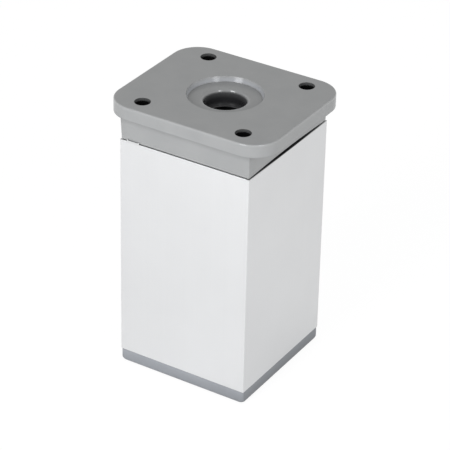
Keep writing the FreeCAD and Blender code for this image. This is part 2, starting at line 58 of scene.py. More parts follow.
# Camera
# It stands where the photograph's did: a long lens that looks down on the leg's near corner, a
# little off level. The figures come from fitting the leg's edges to the photograph's.
photo_width_px = 450
lens_px = 2225.996
sensor_width = 36.0
azimuth = math.radians(31.576)
elevation = math.radians(30.465)
roll = math.radians(1.244)
stand_off = 0.759399
aim = Vector((0.0, 0.0, 0.0510))
slip_right = -0.000827
slip_up = 0.000314

back = Vector((math.sin(azimuth) * math.cos(elevation), -math.cos(azimuth) * math.cos(elevation),
               math.sin(elevation)))
level_right = Vector((math.cos(azimuth), math.sin(azimuth), 0.0))
level_up = back.cross(level_right)
right = math.cos(roll) * level_right + math.sin(roll) * level_up
up = math.cos(roll) * level_up - math.sin(roll) * level_right
camera = bpy.data.objects.new("camera", bpy.data.cameras.new("camera"))
bpy.context.scene.collection.objects.link(camera)
camera.data.sensor_width = sensor_width
camera.data.lens = lens_px / photo_width_px * sensor_width
camera.data.clip_start = 0.05
camera.data.clip_end = 20.0
eye = aim - slip_right * right - slip_up * up + stand_off * back
camera.matrix_world = Matrix.Translation(eye) @ Matrix((right, up, back)).transposed().to_4x4()
bpy.context.scene.camera = camera

# Foot
# A grey plastic moulding under the tube: a rim flush with the tube's sides, its corners wider at the
# sole, and a ribbed plug pushed up into the tube. The boss in its middle carries the spindle, whose
# clip sits in the recess under the sole.
foot_low, foot_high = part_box("foot_cap")
tube_low, tube_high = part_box("tube")
tube_wall = 0.0012
tube_half = tube_high.x
inside_half = tube_half - tube_wall
foot_corner = 0.0002
sole_corner = 0.0015
sole_round = 0.0016
seam_break = 0.0002
plug_play = 0.00025
plug_half = inside_half - plug_play
plug_wall = 0.0022
plug_height = 0.01515
plug_lead = 0.0008
plug_corner = 0.0017
foot_floor = 0.00175
grip_rib_proud = 0.0002
grip_rib_half = 0.0007
grip_rib_offset = 0.016
foot_boss_radius = 0.009
foot_web_half = 0.0009
foot_web_height = 0.009
sole_recess_radius = 0.010
sole_recess_depth = 0.0042
journal_bore_radius = 0.00405
painted_sole_shade = 0.22
painted_sole_shade_top = 0.0042
near = 1e-6
overlap = 0.0005
cut_past = 0.001


def clear():
    """Leave edit mode and deselect everything, because operators act on all that is selected."""
    if bpy.context.object and bpy.context.object.mode != "OBJECT":
        bpy.ops.object.mode_set(mode="OBJECT")
    bpy.ops.object.select_all(action="DESELECT")


def take(piece):
    """Make one piece the only one that operators act on."""
    clear()
    piece.select_set(True)
    bpy.context.view_layer.objects.active = piece


def block(name, low, high):
    """A block between two corners."""
    clear()
    low = Vector(low)
    high = Vector(high)
    bpy.ops.mesh.primitive_cube_add(size=1.0, location=(low + high) / 2)
    piece = bpy.context.object
    piece.name = name
    piece.scale = high - low
    bpy.ops.object.transform_apply(location=True, rotation=True, scale=True)
    return piece


def square_block(name, half, low, high):
    """A square block about the leg's axis, from one height to another."""
    return block(name, (-half, -half, low), (half, half, high))


def rod(name, radius, low, high, x=0.0, y=0.0, sides=64, spin=0.0):
    """An upright rod, or a prism where it has few sides."""
    clear()
    bpy.ops.mesh.primitive_cylinder_add(vertices=sides, radius=radius, depth=high - low,
                                        location=(x, y, (low + high) / 2), rotation=(0.0, 0.0, spin))
    piece = bpy.context.object
    piece.name = name
    bpy.ops.object.transform_apply(location=True, rotation=True, scale=True)
    return piece


def pick_edges(piece, wanted):
    """Select a piece's edges by where their two ends are."""
    take(piece)
    bpy.ops.object.mode_set(mode="EDIT")
    bpy.ops.mesh.select_mode(type="EDGE")
    bpy.ops.mesh.select_all(action="DESELECT")
    bpy.ops.object.mode_set(mode="OBJECT")
    points = piece.data.vertices
    for edge in piece.data.edges:
        edge.select = wanted(points[edge.vertices[0]].co, points[edge.vertices[1]].co)
    bpy.ops.object.mode_set(mode="EDIT")


def round_edges(piece, wanted, radius, segments):
    """Round the wanted edges, or chamfer them where there is one segment."""
    pick_edges(piece, wanted)
    bpy.ops.mesh.bevel(offset=radius, offset_type="OFFSET", segments=segments, profile=0.5, affect="EDGES")
    bpy.ops.object.mode_set(mode="OBJECT")


def upright(a, b):
    """Whether an edge stands upright."""
    return abs(a.x - b.x) < near and abs(a.y - b.y) < near


def at_height(height):
    """A test for edges that lie at one height."""
    return lambda a, b: abs(a.z - height) < near and abs(b.z - height) < near


def combine(piece, other, operation):
    """Add another solid to a piece or cut it away, and use the other up."""
    take(piece)
    modifier = piece.modifiers.new(operation.lower(), "BOOLEAN")
    modifier.operation = operation
    modifier.solver = "EXACT"
    modifier.object = other
    bpy.ops.object.modifier_apply(modifier=modifier.name)
    bpy.data.objects.remove(other)


def turned(name, profile, sides=96):
    """A solid turned about the leg's axis from its profile of radius and height."""
    clear()
    bpy.ops.mesh.primitive_plane_add(size=0.001)
    piece = bpy.context.object
    piece.name = name
    bpy.ops.object.mode_set(mode="EDIT")
    bpy.ops.mesh.select_mode(type="VERT")
    bpy.ops.mesh.select_all(action="SELECT")
    bpy.ops.mesh.merge(type="CENTER")
    bpy.ops.transform.translate(value=(profile[0][0], 0.0, profile[0][1]))
    for start, end in zip(profile, profile[1:]):
        step = (end[0] - start[0], 0.0, end[1] - start[1])
        bpy.ops.mesh.extrude_vertices_move(TRANSFORM_OT_translate={"value": step})
    bpy.ops.mesh.select_all(action="SELECT")
    bpy.ops.mesh.spin(steps=sides, angle=2 * math.pi, center=(0.0, 0.0, 0.0), axis=(0.0, 0.0, 1.0))
    bpy.ops.mesh.select_all(action="SELECT")
    bpy.ops.mesh.remove_doubles(threshold=near)
    bpy.ops.mesh.normals_make_consistent(inside=False)
    bpy.ops.object.mode_set(mode="OBJECT")
    return piece


def add_side_ribs(piece, root, proud, half_width, offset, low, high):
    """Two upright ribs on each of a piece's four sides."""
    for side in (-1, 1):
        for lane in (-offset, offset):
            near_x, far_x = sorted((side * root, side * (root + proud)))
            combine(piece, block("rib", (near_x, lane - half_width, low), (far_x, lane + half_width, high)),
                    "UNION")
            combine(piece, block("rib", (lane - half_width, near_x, low), (lane + half_width, far_x, high)),
                    "UNION")


def add_cross(piece, reach, half_width, low, high):
    """Two upright webs that cross on the axis."""
    combine(piece, block("web", (-reach, -half_width, low), (reach, half_width, high)), "UNION")
    combine(piece, block("web", (-half_width, -reach, low), (half_width, reach, high)), "UNION")


def dress(piece, finish, slot, body, *nodes):
    """Smooth a finished piece, give it its finish, and put it on its body in the nodes' place."""
    take(piece)
    bpy.ops.object.shade_smooth_by_angle(angle=math.radians(32))
    weighted = piece.modifiers.new("weighted", "WEIGHTED_NORMAL")
    weighted.keep_sharp = True
    bpy.ops.object.modifier_apply(modifier=weighted.name)
    piece.data.materials.clear()
    piece.data.materials.append(finish)
    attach(piece, body)
    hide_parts(*nodes)


class Wire:
    """A socket of a material that arithmetic works on, adding the nodes that work it out."""

    def __init__(self, tree, socket):
        self.tree = tree
        self.socket = socket

    def node(self, kind, settings, sockets, output=0):
        """Add a node to the same material: its settings first, then its sockets' values or links."""
        made = self.tree.nodes.new(kind)
        for name, setting in settings.items():
            setattr(made, name, setting)
        for name, given in sockets.items():
            if isinstance(given, Wire):
                self.tree.links.new(given.socket, made.inputs[name])
            else:
                made.inputs[name].default_value = given
        return Wire(self.tree, made.outputs[output])

    def maths(self, operation, first, second):
        """A sum, a difference or a product."""
        return self.node("ShaderNodeMath", {"operation": operation}, {0: first, 1: second})

    def __add__(self, other):
        return self.maths("ADD", self, other)

    def __radd__(self, other):
        return self.maths("ADD", other, self)

    def __sub__(self, other):
        return self.maths("SUBTRACT", self, other)

    def __rsub__(self, other):
        return self.maths("SUBTRACT", other, self)

    def __mul__(self, other):
        return self.maths("MULTIPLY", self, other)

    def __rmul__(self, other):
        return self.maths("MULTIPLY", other, self)

    def stretched(self, x, y, z):
        """The same coordinates, scaled differently along each axis."""
        return self.node("ShaderNodeMapping", {}, {"Vector": self, "Scale": (x, y, z)})

    def noise(self, scale, detail=2.0, roughness=0.5):
        """Soft noise from 0 to 1 over these coordinates."""
        return self.node("ShaderNodeTexNoise", {},
                         {"Vector": self, "Scale": scale, "Detail": detail, "Roughness": roughness})

    def limited(self, low, high):
        """Spread the span from low to high over 0 to 1."""
        return self.node("ShaderNodeMapRange", {}, {"Value": self, "From Min": low, "From Max": high})

    def band(self, start, full, fading, end):
        """1 between full and fading, running out to 0 at start and at end."""
        return self.limited(start, full) * self.limited(end, fading)

    def blended(self, low, high):
        """A colour between two, by this amount."""
        low, high = (end if isinstance(end, Wire) else (*end, 1.0) for end in (low, high))
        return self.node("ShaderNodeMix", {"data_type": "RGBA"}, {0: self, 6: low, 7: high}, 2)

    def along(self, axis):
        """These coordinates' distance along X, Y or Z, which are axes 0, 1 and 2."""
        return self.node("ShaderNodeSeparateXYZ", {}, {"Vector": self}, axis)

    def unsigned(self):
        """These coordinates without their signs, so that the leg's four quarters are one."""
        return self.node("ShaderNodeVectorMath", {"operation": "ABSOLUTE"}, {0: self})

    def distance_from(self, x, y):
        """How far these coordinates lie from an upright axis."""
        return self.node("ShaderNodeVectorMath", {"operation": "DISTANCE"},
                         {0: self.stretched(1.0, 1.0, 0.0), 1: (x, y, 0.0)}, 1)


def new_finish(name):
    """Start a material, and give it back with the surface's own coordinates."""
    finish = bpy.data.materials.new(name)
    finish.use_nodes = True
    tree = finish.node_tree
    coordinates = tree.nodes.new("ShaderNodeTexCoord")
    return finish, Wire(tree, coordinates.outputs["Object"])


def set_surface(finish, color, roughness, metallic=0.0, relief=None, relief_depth=0.0, polish=None,
                polish_roughness=0.06):
    """Link what varies over the surface to its shader, and set what doesn't."""
    tree = finish.node_tree
    shader = tree.nodes["Principled BSDF"]
    tree.links.new(color.socket, shader.inputs["Base Color"])
    tree.links.new(roughness.socket, shader.inputs["Roughness"])
    shader.inputs["Metallic"].default_value = metallic
    if relief is not None:
        bump = color.node("ShaderNodeBump", {},
                          {"Height": relief, "Distance": relief_depth, "Strength": 1.0})
        tree.links.new(bump.socket, shader.inputs["Normal"])
    if polish is not None:
        tree.links.new(polish.socket, shader.inputs["Coat Weight"])
        shader.inputs["Coat Roughness"].default_value = polish_roughness


def grey_moulding(place, dark, light):
    """Grey engineering plastic off a finely eroded mould: its barely mottled grey, and its grain."""
    cloudy = place.noise(110.0, detail=3.0)
    grain = place.noise(5200.0, detail=2.0)
    return (0.75 * cloudy + 0.25 * grain).limited(0.3, 0.7).blended(dark, light), grain


def make_foot_plastic():
    """The foot's plastic, a shade darker and bluer than the plate's, with shade painted in towards the
    sole.
    """
    finish, place = new_finish("foot_plastic")
    color, grain = grey_moulding(place, (0.274, 0.287, 0.309), (0.302, 0.315, 0.337))
    # Painted shade: the plastic darkens towards the sole, standing in for the floor's shadow beside it.
    toward_sole = place.along(2).limited(painted_sole_shade_top, foot_low.z)
    color = (painted_sole_shade * toward_sole).blended(color, (0.03, 0.03, 0.03))
    set_surface(finish, color, 0.36 + 0.10 * grain, relief=grain, relief_depth=0.000010)
    return finish


def round_corners(piece, sole_top, upper_radius, sole_radius):
    """Round a square piece's corners, sharper above its sole's rounding and rounder within it."""
    weights = piece.data.attributes.new("bevel_weight_edge", "FLOAT", "EDGE")
    points = piece.data.vertices
    for edge, weight in zip(piece.data.edges, weights.data):
        a, b = (points[end].co for end in edge.vertices)
        on_corner = abs(a.z - b.z) > near and all(abs(abs(end.x) - abs(end.y)) < near for end in (a, b))
        in_sole = min(a.z, b.z) < sole_top - near
        weight.value = (1.0 if in_sole else upper_radius / sole_radius) if on_corner else 0.0
    take(piece)
    corners = piece.modifiers.new("corners", "BEVEL")
    corners.limit_method = "WEIGHT"
    corners.width = sole_radius
    corners.segments = 5
    bpy.ops.object.modifier_apply(modifier=corners.name)


foot = square_block("foot_moulding", tube_half, foot_low.z, tube_low.z)
round_edges(foot, at_height(foot_low.z), sole_round, 6)
round_edges(foot, at_height(tube_low.z), seam_break, 2)
round_corners(foot, foot_low.z + sole_round, foot_corner, sole_corner)
plug_top = tube_low.z + plug_height
plug = square_block("plug", plug_half, tube_low.z - cut_past, plug_top)
round_edges(plug, upright, plug_corner, 5)
round_edges(plug, at_height(plug_top), plug_lead, 1)
combine(foot, plug, "UNION")
add_side_ribs(foot, plug_half - plug_wall / 2, plug_wall / 2 + grip_rib_proud, grip_rib_half,
              grip_rib_offset, tube_low.z - overlap, plug_top - 2 * plug_lead)
floor_top = tube_low.z + foot_floor
hollow = square_block("hollow", plug_half - plug_wall, floor_top, plug_top + cut_past)
round_edges(hollow, upright, plug_corner, 5)
combine(foot, hollow, "DIFFERENCE")
add_cross(foot, plug_half - plug_wall / 2, foot_web_half, floor_top - overlap, floor_top + foot_web_height)
combine(foot, rod("boss", foot_boss_radius, tube_low.z, foot_high.z), "UNION")
combine(foot, rod("bore", journal_bore_radius, foot_low.z, foot_high.z + cut_past), "DIFFERENCE")
combine(foot, rod("recess", sole_recess_radius, foot_low.z - cut_past, foot_low.z + sole_recess_depth),
        "DIFFERENCE")
dress(foot, make_foot_plastic(), "grey_plastic", "lower_leg", "foot_cap")

# Spindle
# Turned from steel bar and zinc plated: an M10 thread with a key socket in its top, a collar that
# stands on the washer, and a journal through the foot, with a groove for the clip near its end.
spindle_low, spindle_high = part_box("spindle")
washer_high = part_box("thrust_washer")[1]
clip_low, clip_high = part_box("retaining_clip")
thread_radius = 0.005
thread_pitch = 0.0015
thread_root_radius = 0.00408
thread_root_flat = thread_pitch / 4
thread_crest_flat = thread_pitch / 8
thread_clear = 0.00005
thread_steps = 32
collar_radius = 0.0075
collar_height = 0.0025
collar_chamfer = 0.0004
thread_run_out = 0.002
shank_chamfer = 0.001
journal_radius = 0.004
groove_radius = 0.003
groove_play = 0.0001
socket_flats = 0.006
socket_depth = 0.0065
socket_break = 0.0003


def make_zinc_steel():
    """Zinc plated steel: a cool, half bright metal with faint turning marks."""
    finish, place = new_finish("zinc_steel")
    marks = place.stretched(300.0, 300.0, 9000.0).noise(1.0, detail=2.0)
    cloudy = place.noise(260.0, detail=3.0)
    color = (0.5 * marks + 0.5 * cloudy).limited(0.3, 0.7).blended((0.56, 0.57, 0.58), (0.68, 0.69, 0.69))
    set_surface(finish, color, 0.26 + 0.16 * cloudy, metallic=1.0, relief=marks, relief_depth=0.000006)
    return finish


def screwed(piece, pitch, turns, steps):
    """Sweep a flat outline up a screw line about the leg's axis, and close both its ends."""
    take(piece)
    screw = piece.modifiers.new("screw", "SCREW")
    screw.axis = "Z"
    screw.angle = 2 * math.pi
    screw.screw_offset = pitch
    screw.iterations = turns
    screw.steps = steps
    screw.render_steps = steps
    bpy.ops.object.modifier_apply(modifier=screw.name)
    bpy.ops.object.mode_set(mode="EDIT")
    bpy.ops.mesh.select_all(action="SELECT")
    bpy.ops.mesh.remove_doubles(threshold=near)
    bpy.ops.mesh.select_all(action="SELECT")
    bpy.ops.mesh.fill_holes(sides=4)
    bpy.ops.mesh.select_all(action="SELECT")
    bpy.ops.mesh.normals_make_consistent(inside=False)
    bpy.ops.object.mode_set(mode="OBJECT")


collar_low = washer_high.z
collar_high = collar_low + collar_height
clip_groove_low = clip_low.z - groove_play
clip_groove_high = clip_high.z + groove_play
spindle_profile = [(0.0, spindle_low.z), (groove_radius, spindle_low.z),
                   (journal_radius, spindle_low.z + (journal_radius - groove_radius) / 2),
                   (journal_radius, clip_groove_low), (groove_radius, clip_groove_low),
                   (groove_radius, clip_groove_high), (journal_radius, clip_groove_high),
                   (journal_radius, collar_low), (collar_radius, collar_low),
                   (collar_radius, collar_high - collar_chamfer),
                   (collar_radius - collar_chamfer, collar_high), (thread_radius, collar_high),
                   (thread_radius, spindle_high.z - shank_chamfer),
                   (thread_radius - shank_chamfer, spindle_high.z), (0.0, spindle_high.z)]
spindle = turned("levelling_spindle_turning", spindle_profile)

groove_low = collar_high + thread_run_out
groove_turns = math.ceil((spindle_high.z - groove_low) / thread_pitch) + 1
mouth_radius = thread_radius + thread_clear
flank = (thread_pitch - thread_crest_flat - thread_root_flat) / 2 / (thread_radius - thread_root_radius)
mouth_half = thread_root_flat / 2 + flank * (mouth_radius - thread_root_radius)
clear()
bpy.ops.mesh.primitive_plane_add(size=1.0, location=(0.0, 0.0, 0.0), rotation=(math.pi / 2, 0.0, 0.0))
groove = bpy.context.object
groove.scale = (mouth_radius - thread_root_radius, 2 * mouth_half, 1.0)
groove.location = ((mouth_radius + thread_root_radius) / 2, 0.0, groove_low)
bpy.ops.object.transform_apply(location=True, rotation=True, scale=True)
pick_edges(groove, lambda a, b: max(a.x, b.x) < thread_root_radius + near)
narrowing = thread_root_flat / 2 / mouth_half
bpy.ops.transform.resize(value=(1.0, 1.0, narrowing), center_override=(0.0, 0.0, groove_low))
bpy.ops.object.mode_set(mode="OBJECT")
screwed(groove, thread_pitch, groove_turns, thread_steps)
combine(spindle, groove, "DIFFERENCE")
socket_floor = spindle_high.z - socket_depth
socket_corner_radius = socket_flats / math.sqrt(3)
socket = rod("socket", socket_corner_radius, socket_floor, spindle_high.z + cut_past, sides=6)
combine(spindle, socket, "DIFFERENCE")
break_low = spindle_high.z - socket_break
break_high = spindle_high.z + near
mouth_profile = [(0.0, break_low), (socket_flats / 2, break_low),
                 (socket_corner_radius + socket_break, break_high), (0.0, break_high)]
combine(spindle, turned("socket_mouth", mouth_profile), "DIFFERENCE")
zinc_steel = make_zinc_steel()
dress(spindle, zinc_steel, "zinc_steel", "levelling_spindle", "spindle")

# Washer and clip
# A flat zinc plated washer carries the spindle's collar on the foot's boss. The clip is stamped from
# spring steel, blackened by its phosphate, and snaps into the spindle's groove under the sole.


def make_spring_steel():
    """Phosphated spring steel: nearly black, with a dull sheen."""
    finish, place = new_finish("spring_steel")
    cloudy = place.noise(900.0, detail=4.0)
    color = cloudy.limited(0.3, 0.7).blended((0.10, 0.095, 0.09), (0.17, 0.16, 0.15))
    set_surface(finish, color, 0.42 + 0.18 * cloudy, metallic=1.0, relief=cloudy, relief_depth=0.000008)
    return finish


def refinish(node, finish):
    """Give a node from the frame its finish."""
    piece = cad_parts[node]
    piece.data.materials.clear()
    piece.data.materials.append(finish)


refinish("thrust_washer", zinc_steel)
refinish("retaining_clip", make_spring_steel())

# Tube
# Square aluminium tube, extruded, matt anodised, sawn to length and pressed over the foot's plug. It
# is nearly white, with faint lines from the die. Its rims are barely deburred, and near one top corner
# the saw left a thin curl of metal with a spur at either end.
tube_corner = 0.00025
rim_break = 0.00012
inside_corner = 0.0005
burr_left = -0.0220
burr_right = -0.0176
burr_high = 0.00045
burr_thick = 0.0001
burr_lean = 0.00015
burr_slope = 0.0002
spur_wide = 0.00045
spur_high = 0.0007
spur_proud = 0.0001
arch_half_span = 0.0225
rim_shade_from = 0.0003
rim_shade_full = 0.0001
rim_shade_edge = 0.0002
rim_shade_ends = 0.35
rim_shade_middle = 0.6


def make_anodised_aluminium():
    """Matt anodised aluminium with faint upright die lines, and shade painted on its sawn rim under the
    plate's arch.
    """
    finish, place = new_finish("anodised_aluminium")
    die_lines = place.stretched(2600.0, 2600.0, 9.0).noise(1.0, detail=3.0, roughness=0.6)
    cloudy = place.noise(38.0, detail=3.0)
    grain = place.noise(7000.0, detail=1.0)
    tone = 0.35 * die_lines + 0.5 * cloudy + 0.15 * grain
    color = tone.limited(0.3, 0.7).blended((0.795, 0.80, 0.805), (0.83, 0.835, 0.84))
    # Painted shade: the rim's top face is darkened along the tube's ±X walls, most at the middle under the
    # plate's arch, where the gap lies in shadow.
    rim = place.along(2).limited(tube_high.z - rim_shade_from, tube_high.z - rim_shade_full)
    across = place.unsigned().along(0).limited(inside_half - rim_shade_edge, inside_half)
    middle = place.along(1) * place.along(1) * (-1 / arch_half_span ** 2) + 1.0
    painted_rim_shade = rim * across * (rim_shade_ends + rim_shade_middle * middle)
    color = painted_rim_shade.blended(color, (0.04, 0.04, 0.04))
    roughness = 0.40 + 0.08 * die_lines
    set_surface(finish, color, roughness, metallic=1.0, relief=0.5 * die_lines + 0.5 * grain,
                relief_depth=0.000006)
    return finish


anodised_aluminium = make_anodised_aluminium()
tube = square_block("tube_extrusion", tube_half, tube_low.z, tube_high.z)
round_edges(tube, upright, tube_corner, 4)
round_edges(tube, lambda a, b: at_height(tube_low.z)(a, b) or at_height(tube_high.z)(a, b), rim_break, 2)
inside = square_block("inside", inside_half, tube_low.z - cut_past, tube_high.z + cut_past)
round_edges(inside, upright, inside_corner, 4)
combine(tube, inside, "DIFFERENCE")
burr_top = tube_high.z + burr_high
burr = block("burr", (burr_left, -tube_half, tube_high.z - burr_high),
             (burr_right, -tube_half + burr_thick, burr_top))
round_edges(burr, lambda a, b: at_height(burr_top)(a, b) and abs(a.x - b.x) < near, burr_slope, 1)
pick_edges(burr, at_height(burr_top))
bpy.ops.transform.translate(value=(0.0, -burr_lean, 0.0))
bpy.ops.object.mode_set(mode="OBJECT")
combine(tube, burr, "UNION")
for middle in (burr_left, burr_right):
    spur = block("spur", (middle - spur_wide / 2, -tube_half - spur_proud, tube_high.z - burr_high),
                 (middle + spur_wide / 2, -tube_half + burr_thick, tube_high.z + spur_high))
    combine(tube, spur, "UNION")
dress(tube, anodised_aluminium, "tube_aluminium", "lower_leg", "tube")

# Nut
# A plain hexagon nut, cold formed from steel and zinc plated like the spindle. It is pressed up into a
# pocket of the plate's boss and rides on the spindle's thread.
refinish("spindle_nut", zinc_steel)

# Mounting plate
# One grey plastic moulding: a flange with round corners and four screw holes, a recess and a stepped
# bore for the key, a tapered neck on the tube's line, and a ribbed skirt that slides in the tube.
plate_low, plate_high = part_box("mounting_plate")
flange_thick = 0.0047
flange_corner = 0.0098
flange_round = 0.0005
neck_half = 0.02495
neck_draft = 0.0003
neck_corner = 0.0003
shoulder_gap = 0.00025
arch_rise = 0.0006
skirt_play = 0.00055
skirt_half = inside_half - skirt_play
skirt_wall = 0.0022
skirt_lead = 0.001
skirt_corner = 0.002
guide_rib_proud = 0.00035
guide_rib_half = 0.0015
guide_rib_offset = 0.013
guide_rib_length = 0.030
top_wall = 0.006
plate_boss_radius = 0.0125
plate_web_half = 0.001
plate_web_height = 0.020
screw_x = 0.0194
screw_y = 0.02005
screw_hole_radius = 0.0027
screw_hole_depth = 0.011
screw_boss_radius = 0.0044
screw_boss_skin = 0.0014
recess_radius = 0.01305
recess_draft = 0.0007
recess_depth = 0.0018
bore_radius = 0.00715
bore_depth = 0.0076
lip_round = 0.0014
key_hole_radius = 0.006
key_hole_break = 0.00015
nut_depth = 0.030
nut_height = 0.008
nut_pocket_flats = 0.01705
nut_corner_radius = nut_pocket_flats / math.sqrt(3)
nut_play = 0.0001
nut_catch = 0.0005
nut_catch_height = 0.0012
flange_shade = 0.17
flange_shade_band = (flange_thick - 0.0003, flange_thick, flange_thick, flange_thick + 0.0025)
flange_edge_painted_highlight = 0.3
flange_edge_polish = 0.6
flange_edge_band = (0.0, 0.0001, 0.0004, 0.0009)
flange_edge_radius = 0.0240
shade_blur = 0.0005
recess_floor_shade = 0.10
recess_floor_from = 0.6 * recess_depth
recess_floor_radius = 0.0115
recess_wall_painted_light = 0.42
recess_wall_band = (0.0, 0.0010, 0.0015, recess_depth)
recess_wall_spill = 0.0002
recess_corner_shade = 0.22
recess_corner_from = 0.0014
recess_corner_radius = 0.0118
screw_top_shade = 0.72
screw_dark_from = 0.0008
screw_dark_full = 0.0012
screw_shade_spill = 0.0002
lip_band = (0.0020, 0.0023, 0.0030, 0.0033)
lip_polished = 0.0010
lip_smoothing = 0.5
bore_shade_spill = 0.0003
bore_shades = [(0.0026, 0.0034, (0.09, 0.09, 0.092)),
               (0.0034, 0.0052, (0.035, 0.035, 0.037)),
               (bore_depth - 0.0012, bore_depth, (0.08, 0.08, 0.082)),
               (bore_depth + 0.0001, bore_depth + 0.0003, (0.006, 0.006, 0.006))]

plate_top = plate_high.z
flange_under = plate_top - flange_thick
shoulder = tube_high.z + shoulder_gap
ceiling = plate_top - top_wall
nut_top = plate_top - nut_depth
nut_bottom = nut_top - nut_height

plate = block("plate_moulding", (plate_low.x, plate_low.y, flange_under), plate_high)
round_edges(plate, upright, flange_corner, 20)
round_edges(plate, at_height(plate_top), flange_round, 4)

neck = square_block("neck", neck_half, shoulder, flange_under)
round_edges(neck, upright, neck_corner, 4)
pick_edges(neck, at_height(shoulder))
shrink = 1 - neck_draft / neck_half
bpy.ops.transform.resize(value=(shrink, shrink, 1.0), center_override=(0.0, 0.0, shoulder))
bpy.ops.object.mode_set(mode="OBJECT")
pick_edges(neck, at_height(flange_under))
bpy.ops.mesh.select_mode(type="FACE")
bpy.ops.mesh.extrude_region_move(TRANSFORM_OT_translate={"value": (0.0, 0.0, overlap)})
bpy.ops.object.mode_set(mode="OBJECT")
arch_radius = (arch_half_span ** 2 + arch_rise ** 2) / (2 * arch_rise)
clear()
bpy.ops.mesh.primitive_cylinder_add(vertices=1024, radius=arch_radius, depth=4 * neck_half,
                                    location=(0.0, 0.0, shoulder + arch_rise - arch_radius),
                                    rotation=(0.0, math.pi / 2, 0.0))
arch = bpy.context.object
bpy.ops.object.transform_apply(location=True, rotation=True, scale=True)
combine(neck, arch, "DIFFERENCE")
combine(plate, neck, "UNION")

skirt = square_block("skirt", skirt_half, plate_low.z, flange_under - overlap)
round_edges(skirt, upright, skirt_corner, 6)
round_edges(skirt, at_height(plate_low.z), skirt_lead, 1)
combine(plate, skirt, "UNION")
add_side_ribs(plate, skirt_half - skirt_wall / 2, skirt_wall / 2 + guide_rib_proud, guide_rib_half,
              guide_rib_offset, plate_low.z + skirt_lead, plate_low.z + skirt_lead + guide_rib_length)
hollow = square_block("hollow", skirt_half - skirt_wall, plate_low.z - cut_past, ceiling)
round_edges(hollow, upright, skirt_corner, 6)
combine(plate, hollow, "DIFFERENCE")
add_cross(plate, skirt_half - skirt_wall / 2, plate_web_half, ceiling - plate_web_height, ceiling + overlap)
boss_low = nut_bottom - nut_catch_height
combine(plate, rod("boss", plate_boss_radius, boss_low, ceiling + overlap, sides=96), "UNION")
screw_places = [(side_x * screw_x, side_y * screw_y) for side_x in (-1, 1) for side_y in (-1, 1)]
for x, y in screw_places:
    low = plate_top - screw_hole_depth - screw_boss_skin
    combine(plate, rod("screw_boss", screw_boss_radius, low, ceiling + overlap, x, y, 48), "UNION")
for x, y in screw_places:
    low = plate_top - screw_hole_depth
    combine(plate, rod("screw_hole", screw_hole_radius, low, plate_top + cut_past, x, y, 48), "DIFFERENCE")

lip_top = plate_top - recess_depth
lip_steps = 6
lip = [(bore_radius + lip_round * (1 - math.sin(angle)), lip_top - lip_round * (1 - math.cos(angle)))
       for angle in (step * math.pi / 2 / lip_steps for step in range(lip_steps + 1))]
ledge = plate_top - bore_depth
cut_top = plate_top + cut_past
bore_profile = [(0.0, cut_top), (recess_radius, cut_top), (recess_radius, plate_top),
                (recess_radius - recess_draft, lip_top), *lip, (bore_radius, ledge),
                (key_hole_radius + key_hole_break, ledge), (key_hole_radius, ledge - key_hole_break),
                (key_hole_radius, nut_top), (0.0, nut_top)]
combine(plate, turned("stepped_bore", bore_profile, 128), "DIFFERENCE")
combine(plate, rod("nut_pocket", nut_corner_radius, nut_bottom - nut_play, nut_top + nut_play, sides=6,
                   spin=math.pi / 6), "DIFFERENCE")
mouth_low = nut_bottom - 2 * nut_catch_height
combine(plate, rod("nut_mouth", nut_corner_radius - nut_catch, mouth_low, nut_bottom), "DIFFERENCE")


